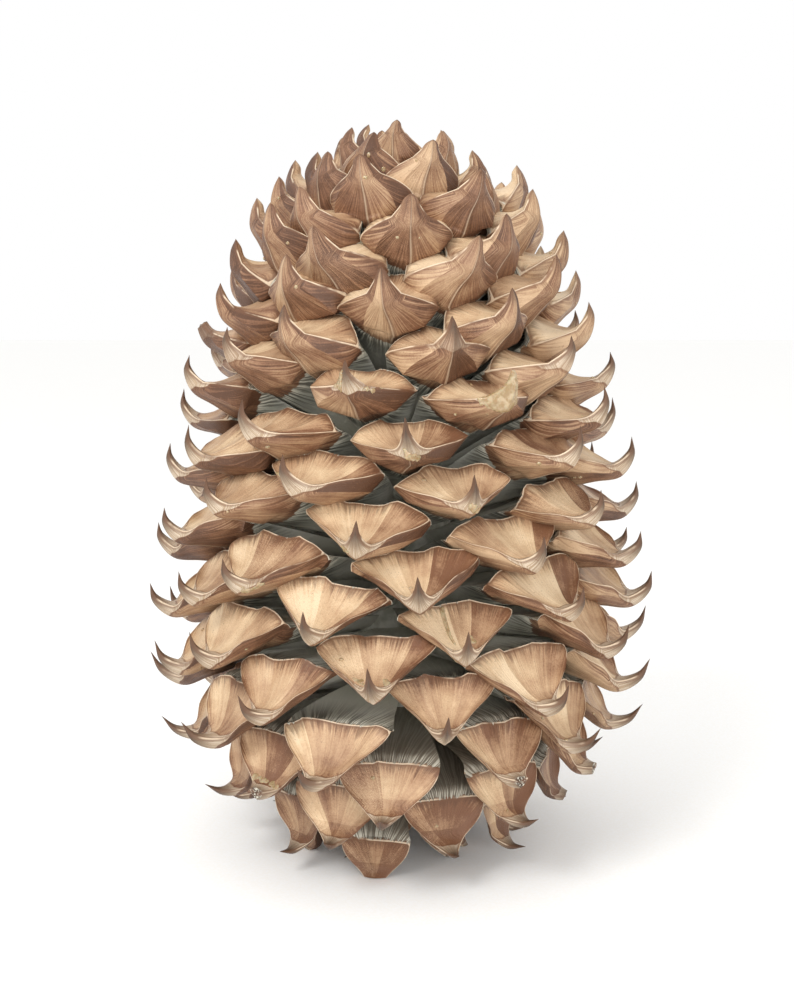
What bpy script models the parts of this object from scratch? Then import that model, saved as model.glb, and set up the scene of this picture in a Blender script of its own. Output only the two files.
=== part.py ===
"""The ripe, open seed cone of a big-cone pine, standing on the claws of its lowest scales.

Every scale grows from one woody axis, so the cone is one solid: an axis with its scales sunk into it.
Metres, +Z up towards the cone's tip, the resting plane at z = 0. Angle 0 faces -Y and turns towards +X.
"""

import math
import random

import bmesh
import bpy
from mathutils import Vector

MM = 0.001

# Spiral order: the rows of scales that the eye follows count 7 one way round and 11 the other.
SCALE_COUNT = 187
DIVERGENCE = -99.467
FRONT_SCALE = 108
SEED = 4100

# Where the axis stands, so that the finished cone's box is centred on the origin.
AXIS_X = 0.65 * MM
AXIS_Y = -0.3 * MM

# The scales along the spiral, in millimetres and degrees. The shoulders are the scale's two widest points,
# and its pitch is how steeply it points up there. A crest stands over the line between the shoulders and a
# belly hangs under it. The keel drops from the shoulders to the foot of the claw, and the claw's tip ends
# at its reach and rise, measured from the shoulders along the scale and square to it.
STATIONS = (
    # scale radius height pitch root half crest drop belly reach rise
    (0, 14.0, 22.0, -88.0, 34.0, 7.5, 1.5, 1.0, 3.0, 10.0, 3.0),
    (7, 29.0, 17.5, -82.0, 38.0, 11.0, 2.0, 1.5, 4.5, 17.0, 7.0),
    (14, 42.5, 21.0, -73.0, 44.0, 14.0, 3.0, 2.0, 5.5, 20.0, 8.0),
    (21, 54.0, 33.0, -62.0, 50.0, 16.0, 3.5, 2.5, 6.5, 22.0, 8.0),
    (32, 66.0, 50.0, -46.0, 60.0, 19.0, 4.5, 3.0, 7.5, 24.5, 9.0),
    (43, 72.5, 67.5, -31.0, 72.0, 20.5, 5.5, 3.5, 8.5, 27.0, 9.5),
    (58, 74.2, 91.0, -13.0, 87.0, 21.4, 6.5, 5.0, 9.5, 27.5, 7.0),
    (79, 72.2, 124.0, 2.0, 110.0, 22.0, 7.0, 6.0, 10.5, 27.0, 2.5),
    (97, 68.8, 154.0, 11.0, 132.0, 21.8, 7.0, 6.0, 11.0, 25.0, 3.0),
    (108, 65.9, 171.8, 16.0, 146.0, 21.0, 6.5, 5.5, 11.0, 24.5, 4.5),
    (126, 59.6, 201.0, 24.0, 169.0, 19.8, 6.0, 4.5, 10.5, 23.0, 5.0),
    (137, 54.6, 217.0, 32.0, 183.0, 18.9, 5.5, 3.5, 10.0, 22.0, 4.5),
    (150, 48.5, 235.0, 42.0, 200.0, 17.6, 4.5, 2.5, 9.5, 20.0, 3.5),
    (162, 42.0, 251.5, 52.0, 216.0, 16.2, 3.5, 2.0, 9.0, 17.5, 3.0),
    (173, 29.5, 263.5, 66.0, 230.0, 14.2, 3.0, 1.5, 8.0, 15.5, 2.5),
    (184, 14.0, 273.5, 80.0, 242.0, 10.0, 2.5, 1.0, 5.5, 12.5, 2.0),
    (187, 7.0, 275.0, 86.0, 247.0, 7.0, 2.0, 0.5, 4.0, 9.5, 1.0),
)

# Scales of the cone's front that stand off the rule: degrees round, millimetres up, and the claw's sway.
STRAYS = {
    10: (0, 1, 3), 21: (3, 0, 2), 32: (-3, 0, -2), 39: (6, 2, 2), 43: (-3, -3, -6), 50: (2, 3, -3), 54: (-4, 0, -3),
    61: (-1, 0, 0), 65: (-6, -2, 1), 68: (-3, 0, -4), 72: (0, 1, -1), 79: (0, 1, -2), 83: (-5, -3, -3),
    86: (3, 0, 0), 90: (0, 0, 1), 97: (2, 1, 0), 101: (1, -1, -7), 104: (8, 2, 0), 108: (3, 0, -3),
    112: (0, -4, -4), 115: (2, 3, 3), 119: (2, 0, -2), 126: (4, 1, 0), 130: (-4, -2, -1), 137: (0, 1, -1),
    144: (2, 1, 5), 148: (-7, -1, -4), 155: (-2, 1, 1), 159: (-6, -2, -4), 162: (1, 1, 5), 166: (-7, 1, -2),
    169: (0, -6, -3), 172: (0, -4, 0), 173: (1, 0, 3), 174: (0, -3, 0), 176: (0, -5, -2), 184: (-9, 1, 1),
}
TURN_JITTER, LIFT_JITTER, SWAY_JITTER = 3.0, 1.5, 3.5
PITCH_JITTER, ROLL_JITTER, SIZE_JITTER = 3.0, 5.0, 0.04

# Claws that have snapped off short.
BROKEN = (10, 24, 35, 36, 39, 63, 92, 127)

# Claws that the cone stands on, and how far past the resting plane they would reach if they weren't worn.
STANDING = (6, 8, 9, 11, 14)
WEAR = 1.6

# The axis: height and radius in millimetres, from the stalk's scar under the cone to its tip.
AXIS_PROFILE = (
    (26.0, 11.0),
    (58.0, 21.0),
    (145.0, 21.0),
    (230.0, 12.0),
    (258.0, 5.0),
)
AXIS_TIP = 264.0
AXIS_SIDES = 8
ROOT_DEPTH = 0.55  # share of the axis's radius at which a scale's root starts

# The shank's sections, flat above and keeled below, as shares of half the scale's width.
ROOT_HALF, ROOT_UP, ROOT_DOWN = 0.22, 0.06, 0.17
NECK_BACK, NECK_HALF, NECK_UP = 0.50, 0.82, 0.06
NECK_BELLY = 0.85  # the neck's depth as a share of the belly's

# The face and the claw: places along the scale as shares of its reach, widths as shares of half its width.
BROW_AT, BROW_HALF = 0.30, 0.66
FOOT_AT, FOOT_HALF, FOOT_DEPTH = 0.61, 0.27, 0.27
HORN_AT, HORN_HALF, HORN_DEPTH = 0.90, 0.13, 0.15
HORN_RISE = 0.40  # how much of the claw's rise is reached at the horn
TIP_AT = 0.95

CONE_COLOUR = (0.42, 0.24, 0.13, 1.0)


def at_station(scale, column):
    """The value of one column at this scale, on a smooth curve through the stations."""
    rows = STATIONS
    last = len(rows) - 1
    here = 0
    while here < last - 1 and rows[here + 1][0] <= scale:
        here += 1

    def slope(i):
        low, high = max(i - 1, 0), min(i + 1, last)
        return (rows[high][column] - rows[low][column]) / (rows[high][0] - rows[low][0])

    start, end = rows[here], rows[here + 1]
    span = end[0] - start[0]
    t = (scale - start[0]) / span
    return (
        (2 * t**3 - 3 * t**2 + 1) * start[column]
        + (t**3 - 2 * t**2 + t) * span * slope(here)
        + (3 * t**2 - 2 * t**3) * end[column]
        + (t**3 - t**2) * span * slope(here + 1)
    )


def axis_radius(height):
    """The axis's radius at a height, both in millimetres."""
    for (low, r_low), (high, r_high) in zip(AXIS_PROFILE, AXIS_PROFILE[1:]):
        if height <= high:
            return r_low + (r_high - r_low) * max(0.0, (height - low) / (high - low))
    return AXIS_PROFILE[-1][1]


class Scale:
    """The place and the sizes of one scale, in millimetres and radians."""

    def __init__(self, index):
        draw = random.Random(SEED + index)
        values = [at_station(index, column) for column in range(1, 11)]
        radius, height, pitch, root = values[:4]
        size = 1.0 + SIZE_JITTER * draw.uniform(-1, 1)
        self.half, self.crest, self.drop, self.belly, self.reach, self.rise = (
            value * size for value in values[4:]
        )
        self.pitch = math.radians(pitch + PITCH_JITTER * draw.uniform(-1, 1))
        self.roll = math.radians(ROLL_JITTER * draw.uniform(-1, 1))
        turn = TURN_JITTER * draw.uniform(-1, 1)
        lift = LIFT_JITTER * draw.uniform(-1, 1)
        sway = SWAY_JITTER * draw.uniform(-1, 1)
        if index in STRAYS:
            turn, lift, sway = STRAYS[index]
        self.sway = sway
        self.angle = math.radians((index - FRONT_SCALE) * DIVERGENCE + turn)
        self.shoulder = Vector((radius, height + lift))
        self.root = Vector((ROOT_DEPTH * axis_radius(root), root))
        self.broken = index in BROKEN
        if index in STANDING:
            self.shoulder.y -= self.tip().z / MM + WEAR

    def point(self, along, side, up):
        """A point measured from the shoulders, in the plane of radius and height, and its side."""
        side += self.sway * max(0.0, along / self.reach) ** 2
        side, up = (
            side * math.cos(self.roll) - up * math.sin(self.roll),
            side * math.sin(self.roll) + up * math.cos(self.roll),
        )
        out = Vector((math.cos(self.pitch), math.sin(self.pitch)))
        over = Vector((-out.y, out.x))
        return self.shoulder + out * along + over * up, side

    def root_point(self, side, up):
        """A point of the root, square to the straight line from the root up to the shoulders."""
        lean = (self.shoulder - self.root).normalized()
        return self.root + Vector((-lean.y, lean.x)) * up, side

    def placed(self, flat):
        """The point in the cone's frame, in metres, of a place in the plane of radius and height."""
        point, side = flat
        sine, cosine = math.sin(self.angle), math.cos(self.angle)
        return Vector((
            AXIS_X + (point.x * sine + side * cosine) * MM,
            AXIS_Y + (side * sine - point.x * cosine) * MM,
            point.y * MM,
        ))

    def rings(self):
        """The corners of each section from root to claw: left, belly and right, and from the shoulders on
        the crest too."""
        h, reach, drop, belly = self.half, self.reach, self.drop, self.belly
        root = [
            self.root_point(side * h, up * h)
            for side, up in ((-ROOT_HALF, ROOT_UP), (0, -ROOT_DOWN), (ROOT_HALF, ROOT_UP))
        ]
        foot_low = -drop - FOOT_DEPTH * h
        horn_mid = -drop + HORN_RISE * (self.rise + drop)
        shapes = (
            # half, along and up of the sides; along and up of the belly; along and up of the crest
            (h, 0.0, 0.0, -0.1 * h, -belly, -0.05 * h, self.crest),
            (
                BROW_HALF * h, BROW_AT * reach, -0.55 * drop,
                BROW_AT * reach, 0.5 * (foot_low - belly),
                BROW_AT * reach, 0.35 * self.crest - 0.65 * drop,
            ),
            (
                FOOT_HALF * h, FOOT_AT * reach, -drop,
                (FOOT_AT + 0.08) * reach, foot_low,
                (FOOT_AT - 0.02) * reach, -drop + 0.03 * h,
            ),
            (
                HORN_HALF * h, HORN_AT * reach, horn_mid,
                (HORN_AT + 0.09) * reach, horn_mid - HORN_DEPTH * h,
                (HORN_AT - 0.04) * reach, horn_mid + 0.03 * h,
            ),
        )
        neck = [
            self.point(-NECK_BACK * h, side * h, up)
            for side, up in ((-NECK_HALF, NECK_UP * h), (0, -NECK_BELLY * belly), (NECK_HALF, NECK_UP * h))
        ]
        rings = [root, neck]
        for half, side_at, side_up, low_at, low, high_at, high in shapes:
            rings.append([
                self.point(side_at, -half, side_up),
                self.point(low_at, 0.0, low),
                self.point(side_at, half, side_up),
                self.point(high_at, 0.0, high),
            ])
        return [[self.placed(corner) for corner in ring] for ring in rings]

    def tip(self):
        return self.placed(self.point(TIP_AT * self.reach, 0.0, self.rise))


def scale_object(index):
    """One scale: a three-sided shank that opens into a four-sided face and ends in its claw."""
    scale = Scale(index)
    shape = bmesh.new()
    rings = scale.rings()
    rows = [[shape.verts.new(corner) for corner in ring] for ring in rings]
    shape.faces.new(reversed(rows[0]))
    for row, after in zip(rows, rows[1:]):
        if len(row) < len(after):
            left, belly, right = row
            new_left, new_belly, new_right, crest = after
            shape.faces.new((left, belly, new_belly, new_left))
            shape.faces.new((belly, right, new_right, new_belly))
            shape.faces.new((right, crest, new_right))
            shape.faces.new((right, left, crest))
            shape.faces.new((left, new_left, crest))
            continue
        for i, j in zip(range(len(row)), (*range(1, len(row)), 0)):
            shape.faces.new((row[i], row[j], after[j], after[i]))
    if scale.broken:
        shape.faces.new(rows[-1])
    else:
        tip = shape.verts.new(scale.tip())
        for i in range(4):
            shape.faces.new((rows[-1][i], rows[-1][(i + 1) % 4], tip))
    bmesh.ops.triangulate(shape, faces=shape.faces)
    bmesh.ops.recalc_face_normals(shape, faces=shape.faces)
    mesh = bpy.data.meshes.new(f"scale_{index:03d}")
    shape.to_mesh(mesh)
    shape.free()
    return bpy.data.objects.new(f"scale_{index:03d}", mesh)


def axis_object():
    """The woody axis, turned from its profile."""
    shape = bmesh.new()
    line = [(AXIS_PROFILE[0][0], 0.0), *AXIS_PROFILE, (AXIS_TIP, 0.0)]
    verts = [shape.verts.new((AXIS_X + radius * MM, AXIS_Y, height * MM)) for height, radius in line]
    edges = [shape.edges.new(pair) for pair in zip(verts, verts[1:])]
    bmesh.ops.spin(
        shape,
        geom=[*verts, *edges],
        cent=(AXIS_X, AXIS_Y, 0.0),
        axis=(0.0, 0.0, 1.0),
        angle=math.tau,
        steps=AXIS_SIDES,
        use_merge=True,
    )
    bmesh.ops.remove_doubles(shape, verts=shape.verts, dist=0.01 * MM)
    bmesh.ops.triangulate(shape, faces=shape.faces)
    bmesh.ops.recalc_face_normals(shape, faces=shape.faces)
    mesh = bpy.data.meshes.new("cone")
    shape.to_mesh(mesh)
    shape.free()
    return bpy.data.objects.new("cone", mesh)


def wood():
    """Weathered cone wood."""
    material = bpy.data.materials.new("cone_wood")
    material.use_nodes = True
    shader = material.node_tree.nodes["Principled BSDF"]
    shader.inputs["Base Color"].default_value = CONE_COLOUR
    shader.inputs["Roughness"].default_value = 0.62
    shader.inputs["Metallic"].default_value = 0.0
    return material


def fuse(cone, scales):
    """Joins every scale to the axis in one Boolean union, and removes the loose scales."""
    union = cone.modifiers.new("scales", "BOOLEAN")
    union.operation = "UNION"
    union.operand_type = "COLLECTION"
    union.solver = "EXACT"
    union.collection = scales
    bpy.context.view_layer.update()
    graph = bpy.context.evaluated_depsgraph_get()
    fused = bpy.data.meshes.new_from_object(cone.evaluated_get(graph))
    cone.modifiers.clear()
    cone.data = fused
    for loose in list(scales.objects):
        bpy.data.objects.remove(loose)
    bpy.data.collections.remove(scales)


def level_foot(cone):
    """Wears the lowest claws flat at z = 0, where the cone stands."""
    shape = bmesh.new()
    shape.from_mesh(cone.data)
    cut = bmesh.ops.bisect_plane(
        shape,
        geom=[*shape.verts, *shape.edges, *shape.faces],
        plane_co=(0.0, 0.0, 0.0),
        plane_no=(0.0, 0.0, 1.0),
        clear_inner=True,
    )
    rim = [item for item in cut["geom_cut"] if isinstance(item, bmesh.types.BMEdge)]
    bmesh.ops.holes_fill(shape, edges=rim, sides=0)
    bmesh.ops.triangulate(shape, faces=shape.faces)
    bmesh.ops.recalc_face_normals(shape, faces=shape.faces)
    shape.to_mesh(cone.data)
    shape.free()


def main():
    for item in list(bpy.data.objects):
        bpy.data.objects.remove(item)
    cone = axis_object()
    bpy.context.scene.collection.objects.link(cone)
    scales = bpy.data.collections.new("scales")
    bpy.context.scene.collection.children.link(scales)
    for index in range(SCALE_COUNT):
        scales.objects.link(scale_object(index))
    fuse(cone, scales)
    level_foot(cone)
    cone.data.materials.clear()
    cone.data.materials.append(wood())


main()
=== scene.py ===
"""The finish of a big-cone pine's open seed cone: fine scales, their axis and the resin dried on them.

Sizes along the spiral are in millimetres and degrees, as in the cone's own design. The scene is in metres.
"""

import math
import random

import bmesh
import bpy
import numpy as np
from mathutils import Matrix, Vector


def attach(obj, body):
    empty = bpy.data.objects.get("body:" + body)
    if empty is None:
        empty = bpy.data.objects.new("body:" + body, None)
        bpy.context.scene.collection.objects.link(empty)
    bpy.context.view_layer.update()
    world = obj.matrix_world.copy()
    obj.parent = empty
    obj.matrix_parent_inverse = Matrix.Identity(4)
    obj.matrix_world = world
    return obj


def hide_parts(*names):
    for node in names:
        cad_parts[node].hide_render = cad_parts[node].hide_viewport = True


bl_info = {
    "name": "Big-cone pine cone",
    "version": (1, 0, 0),
    "blender": (4, 5, 0),
    "location": "3D View > Sidebar > Cone",
    "description": "Builds the scales, the axis, the resin and the stage of an open pine cone",
    "category": "Object",
}

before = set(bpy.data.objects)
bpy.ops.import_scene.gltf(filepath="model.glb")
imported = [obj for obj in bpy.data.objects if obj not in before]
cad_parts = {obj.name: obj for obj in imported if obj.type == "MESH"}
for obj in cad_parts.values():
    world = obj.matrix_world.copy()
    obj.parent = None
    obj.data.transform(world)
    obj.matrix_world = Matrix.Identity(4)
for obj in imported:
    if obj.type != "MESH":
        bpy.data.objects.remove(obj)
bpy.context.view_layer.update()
NODE = "cone"
BODY = "root"
MM = 0.001

# Spiral order: the rows of scales that the eye follows count 7 one way round and 11 the other.
SCALE_COUNT = 187
DIVERGENCE = -99.467
FRONT_SCALE = 108
SEED = 4100
AXIS_X = 0.65
AXIS_Y = -0.3

# The scales along the spiral. The shoulders are the scale's two widest points, and its pitch is how steeply
# it points up there. A crest stands over the line between the shoulders and a belly hangs under it. The keel
# drops from the shoulders to the foot of the claw, and the claw's tip ends at its reach and rise, measured
# from the shoulders along the scale and square to it.
STATIONS = (
    # scale radius height pitch root half crest drop belly reach rise
    (0, 14.0, 22.0, -88.0, 34.0, 7.5, 1.5, 1.0, 3.0, 10.0, 3.0),
    (7, 29.0, 17.5, -82.0, 38.0, 11.0, 2.0, 1.5, 4.5, 17.0, 7.0),
    (14, 42.5, 21.0, -73.0, 44.0, 14.0, 3.0, 2.0, 5.5, 20.0, 8.0),
    (21, 54.0, 33.0, -62.0, 50.0, 16.0, 3.5, 2.5, 6.5, 22.0, 8.0),
    (32, 66.0, 50.0, -46.0, 60.0, 19.0, 4.5, 3.0, 7.5, 24.5, 9.0),
    (43, 72.5, 67.5, -31.0, 72.0, 20.5, 5.5, 3.5, 8.5, 27.0, 9.5),
    (58, 74.2, 91.0, -13.0, 87.0, 21.4, 6.5, 5.0, 9.5, 27.5, 7.0),
    (79, 72.2, 124.0, 2.0, 110.0, 22.0, 7.0, 6.0, 10.5, 27.0, 2.5),
    (97, 68.8, 154.0, 11.0, 132.0, 21.8, 7.0, 6.0, 11.0, 25.0, 3.0),
    (108, 65.9, 171.8, 16.0, 146.0, 21.0, 6.5, 5.5, 11.0, 24.5, 4.5),
    (126, 59.6, 201.0, 24.0, 169.0, 19.8, 6.0, 4.5, 10.5, 23.0, 5.0),
    (137, 54.6, 217.0, 32.0, 183.0, 18.9, 5.5, 3.5, 10.0, 22.0, 4.5),
    (150, 48.5, 235.0, 42.0, 200.0, 17.6, 4.5, 2.5, 9.5, 20.0, 3.5),
    (162, 42.0, 251.5, 52.0, 216.0, 16.2, 3.5, 2.0, 9.0, 17.5, 3.0),
    (173, 29.5, 263.5, 66.0, 230.0, 14.2, 3.0, 1.5, 8.0, 15.5, 2.5),
    (184, 14.0, 273.5, 80.0, 242.0, 10.0, 2.5, 1.0, 5.5, 12.5, 2.0),
    (187, 7.0, 275.0, 86.0, 247.0, 7.0, 2.0, 0.5, 4.0, 9.5, 1.0),
)

# Scales of the cone's front that stand off the rule: degrees round, millimetres up, and the claw's sway.
STRAYS = {
    10: (0, 1, 3), 21: (3, 0, 2), 32: (-3, 0, -2), 39: (6, 2, 2), 43: (-3, -3, -6), 50: (2, 3, -3),
    54: (-4, 0, -3), 61: (-1, 0, 0), 65: (-6, -2, 1), 68: (-3, 0, -4), 72: (0, 1, -1), 79: (0, 1, -2),
    83: (-5, -3, -3), 86: (3, 0, 0), 90: (0, 0, 1), 97: (2, 1, 0), 101: (1, -1, -7), 104: (8, 2, 0),
    108: (3, 0, -3), 112: (0, -4, -4), 115: (2, 3, 3), 119: (2, 0, -2), 126: (4, 1, 0), 130: (-4, -2, -1),
    137: (0, 1, -1), 144: (2, 1, 5), 148: (-7, -1, -4), 155: (-2, 1, 1), 159: (-6, -2, -4),
    162: (1, 1, 5), 166: (-7, 1, -2), 169: (0, -6, -3), 172: (0, -4, 0), 173: (1, 0, 3),
    174: (0, -3, 0), 176: (0, -5, -2), 184: (-9, 1, 1),
}
TURN_JITTER, LIFT_JITTER, SWAY_JITTER = 3.0, 1.5, 3.5
PITCH_JITTER, ROLL_JITTER, SIZE_JITTER = 3.0, 5.0, 0.04
BROKEN = (10, 24, 35, 36, 39, 63, 92, 127)
STANDING = (6, 8, 9, 11, 14)
WEAR = 1.6

# The axis: height and radius, from the stalk's scar under the cone to its tip.
AXIS_PROFILE = (
    (26.0, 11.0),
    (58.0, 21.0),
    (145.0, 21.0),
    (230.0, 12.0),
    (258.0, 5.0),
)
AXIS_TIP = 264.0
ROOT_DEPTH = 0.55

# The axis is turned in so many steps, with so many cuts in each length of its profile. Its skin lies this
# far under the profile, in millimetres, and two swells roughen it: how often each goes round, how fast it
# winds with height, in radians for each metre, and its size. Points closer than the last value are one.
AXIS_STEPS, AXIS_CUTS = 48, 12
AXIS_SUNK = 0.6
AXIS_SWELLS = ((11, 700, 0.35), (7, -900, 0.25))
AXIS_MERGE = 0.01

# The shank, the face and the claw, as shares of half the scale's width or of its reach. Three values are for
# the cone's base, its middle and its top: the base has long shields with full sides, the middle slender
# hooks, and the top fat blunt horns.
ROOT_HALF, ROOT_UP, ROOT_DOWN = 0.30, 0.06, 0.17
NECK_BACK, NECK_HALF, NECK_UP, NECK_BELLY = 0.50, 0.90, 0.06, 0.95
SHOULDER_LOW_BACK, CREST_BACK = 0.10, 0.05
BROW_AT, BROW_HALF = 0.30, (0.86, 0.76, 0.80)
BROW_SIDE_DROP, BROW_LOW, BROW_TOP = 0.55, 0.50, 0.35
FOOT_AT, FOOT_HALF, FOOT_DEPTH = 0.61, (0.45, 0.28, 0.40), (0.24, 0.22, 0.30)
FOOT_LOW_AT, FOOT_TOP = (0.69, 0.69, 0.63), (0.03, 0.03, 0.16)
HORN_AT, HORN_HALF, HORN_DEPTH = (0.87, 0.885, 0.81), (0.14, 0.085, 0.21), (0.12, 0.08, 0.16)
HORN_LOW_AT, HORN_TOP, HORN_RISE = (0.93, 0.94, 0.86), (0.03, 0.03, 0.12), (0.40, 0.38, 0.55)
FOOT_TOP_BACK, HORN_TOP_BACK = 0.02, 0.03
TIP_AT = (0.95, 0.95, 0.98)
TIP_TAPER = (1.3, 1.1, 2.2)
BASE_ENDS, MIDDLE_FROM = 18, 58
MIDDLE_ENDS, TOP_FROM = 110, 165

# The crests of the upper scales stand higher behind their keels, by this many millimetres, and the keels of
# the upper scales drop less, by this share.
HIGH_CREST = 9.0
HIGH_CREST_FROM, HIGH_CREST_FULL = 114, 142
LEVEL_KEEL = 0.5
LEVEL_KEEL_FROM, LEVEL_KEEL_FULL = 107, 120

# The corners of the lower scales stand nearly as high as their crests: this share of the crest's height.
CORNER_LIFT = 0.62
CORNER_FULL_TO, CORNER_NONE_FROM = 74, 116

# Above this scale the keel turns up into its claw at a sharp bend, and below it in a smooth curve.
BENDS_FROM = 113

# The scale's grid: rings from root to tip, and columns round it.
RING_STEPS = (
    (0.0, 1.0, 3),
    (1.0, 2.0, 5),
    (2.0, 3.0, 7),
    (3.0, 4.0, 7),
    (4.0, 5.0, 6),
    (5.0, 6.0, 6),
)
COLUMNS = 44

# How full each section is between its sides and its crest, and between its sides and its belly: 1 is a
# sharp roof, 2 a round arch and 4 nearly flat. One value each for root, neck, shoulders, brow, foot, horn
# and tip.
ROOF = (2.0, 2.4, 3.6, 1.6, 1.7, 2.0, 2.0)
KEEL = (1.8, 2.0, 1.8, 1.7, 1.9, 2.0, 2.0)

# Behind the keel the underside breaks into four flat facets. How full the section is at the outer breaks, of
# the lower scales, which are sharp keels, and of the upper ones, and the columns, counted from the side,
# where the breaks may be.
BREAK_FULL_LOW, BREAK_FULL_HIGH = 0.34, 0.68
BREAK_LOW_TO, BREAK_HIGH_FROM = 82, 116
BREAK_COLUMNS = (3, 4, 5, 6)

# Where the grain turns to run along the claw, and where the claw darkens from its foot to its tip, in knots.
# A broken scale has snapped at this share of the way from the foot of its claw to the horn. Its bare stump
# starts at these knots, and it has only this share of the tip's dark.
ON_CLAW, CLAW_DARKENS = (3.7, 4.2), (3.75, 6.0)
SNAPPED_AT = 0.7
STUMP_FROM, STUMP_DARK = (4.9, 5.1), 0.75

# The skin slopes to its side edges, so the way along it is this many times the way across. The underside
# has no edge at the crest, which is taken as this many millimetres away.
EDGE_SIDE = 1.3
NO_EDGE = 99.0

# The ridge under a scale: its height in millimetres, and its width as a share of the half width.
RIDGE, RIDGE_WIDTH = 0.8, 0.22

# Two folds fan out over each face from a point beyond the claw's foot, by this share of the half width.
# Each has its range of angles and of heights in millimetres, and a slow side and a steep one, as angles. The
# folds reach their height this many millimetres from the claw's foot, and grow on to the most. Those of the
# underside are this share as high.
FAN_BEYOND = 0.22
FOLDS = (((-0.60, -0.15), (0.8, 1.9)), ((0.20, 0.75), (0.7, 1.6)))
FOLD_SLOW, FOLD_STEEP = 0.55, 0.10
FOLD_FULL_AT, FOLD_MOST = 14.0, 1.3
FOLD_UNDER = 0.44

# Where the forms of a scale start, are full, fade and end, in knots from its root: the facets of its
# underside, the folds and waves of its face, the lean of its ridge and the dish of its face. The folds fade
# out to the sides from these shares of the half width, above and below.
FACETS_IN = (1.1, 1.7, 3.3, 4.1)
FACE_IN = (1.5, 2.0, 3.3, 4.2)
LEAN_IN = (0.6, 1.6, 2.0, 4.0)
DISH_IN = (2.0, 2.5, 3.3, 4.0)
FOLD_TO, FOLD_UNDER_TO = 0.8, 0.75

# Millimetres: the dish of the face, the waves along its crest with the range of their rates, and how far the
# corners stray down or up. The ridge leans to one side by up to this share of the half width.
DISH = 0.5
CREST_WAVE = 0.25
WAVE_COUNT, WAVE_RATES = 3, (3, 9)
CORNER_STRAY = (-0.5, 0.9)
LEAN = 0.16

# The grit of a snapped claw: how fast it repeats round the stump, how far the scale's tone shifts it, and
# its size, four times the millimetres that it comes to half way down the stump.
GRIT = ((31, 9, 1.4), (13, 0, 1.2))

# Where the tan wood starts: millimetres behind the crest, and under the scale the share of the half width
# behind its shoulders, at its sides and how much farther at its ridge.
TAN_CREST = 0.3
TAN_BACK, TAN_RIDGE = 0.26, 0.20

# A step crosses each lower shield at a share of the reach from this range. The claw's bleached plate starts
# at this knot, farther out on the shields, and farther in along its sides, less so on the shields.
TERRACE = (0.34, 0.58)
PLATE_FROM, PLATE_SHIELD = 4.10, 0.40
PLATE_SIDES, PLATE_SHIELD_SIDES = 0.45, 0.25
PLATE_SIDE_IN = (0.55, 1.0)

# Points of a scale closer than this, in millimetres, are one, and edges that turn more than this, in
# degrees, are sharp.
MERGE = 0.002
SHARP = 42

# What the skin of each scale tells its finish, as one number for each of its points: the millimetres from
# the tan wood's start, from the edge and from the brink of the face, whether it faces up, how far it is
# across, from the middle, out on the claw and on the claw's plate, whether it has snapped, the scale's own
# tone, how far it is past the folds and the step, and how blunt and how shield-like the scale is.
SKIN_MARKS = (
    "tan_mm", "edge_mm", "brink_mm", "upper", "across", "middle", "claw", "plate", "snapped", "tone",
    "past_left", "past_right", "past_terrace", "blunt", "shield",
)
# And for its shape, the number of the crisp line that it is on. The lines under the scale are crisp between
# these knots, and a point this close to a line is on it.
CREASE = "crease"
CRISP_IN = (1.3, 3.9)
ON_LINE = 0.001

# The tiers of scales that make one piece each.
TIERS = (
    ("scales_base", 0, 47),
    ("scales_lower", 47, 94),
    ("scales_middle", 94, 141),
    ("scales_top", 141, SCALE_COUNT),
)

# The camera stands where the picture's viewer does: as far off, as high, and at the same framing.
VIEW_DISTANCE = 0.600
VIEW_ELEVATION = math.radians(9.0)
VIEW_HEIGHT = 0.140
FRAME_WIDTH, FRAME_HEIGHT = 794, 992
FOCAL_PIXELS = 1500.0
CENTRE_X, CENTRE_Y = 400.0, 500.0
SENSOR = 36.0

# The stage, in metres: half the floor's width, how far under the cone it lies so that the worn claws don't
# share its plane, and the two round lights.
FLOOR_HALF, FLOOR_DROP = 4.0, 0.0003
LIGHT_SIZE = 0.5
LIGHT_PLACES = (
    ("key", (-0.55, -0.75, 0.95)),
    ("fill", (0.20, -0.95, 0.32)),
)


def linear(code):
    """An sRGB hex colour as linear red, green, blue and alpha."""
    parts = [int(code[i:i + 2], 16) / 255 for i in (1, 3, 5)]
    return (*[c / 12.92 if c <= 0.04045 else ((c + 0.055) / 1.055) ** 2.4 for c in parts], 1.0)


def curve(f, start, leaving, end, arriving):
    """A smooth curve between two values, read at f from 0 to 1, with its slope at each."""
    return (
        (2 * f**3 - 3 * f**2 + 1) * start
        + (f**3 - 2 * f**2 + f) * leaving
        + (3 * f**2 - 2 * f**3) * end
        + (f**3 - f**2) * arriving
    )


def at_station(scale, column):
    """The value of one column at this scale, on a smooth curve through the stations."""
    rows = STATIONS
    last = len(rows) - 1
    here = 0
    while here < last - 1 and rows[here + 1][0] <= scale:
        here += 1

    def slope(i):
        low, high = max(i - 1, 0), min(i + 1, last)
        return (rows[high][column] - rows[low][column]) / (rows[high][0] - rows[low][0])

    start, end = rows[here], rows[here + 1]
    span = end[0] - start[0]
    t = (scale - start[0]) / span
    return curve(t, start[column], span * slope(here), end[column], span * slope(here + 1))


def axis_radius(height):
    """The axis's radius at a height."""
    for (low, r_low), (high, r_high) in zip(AXIS_PROFILE, AXIS_PROFILE[1:]):
        if height <= high:
            return r_low + (r_high - r_low) * max(0.0, (height - low) / (high - low))
    return AXIS_PROFILE[-1][1]


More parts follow.
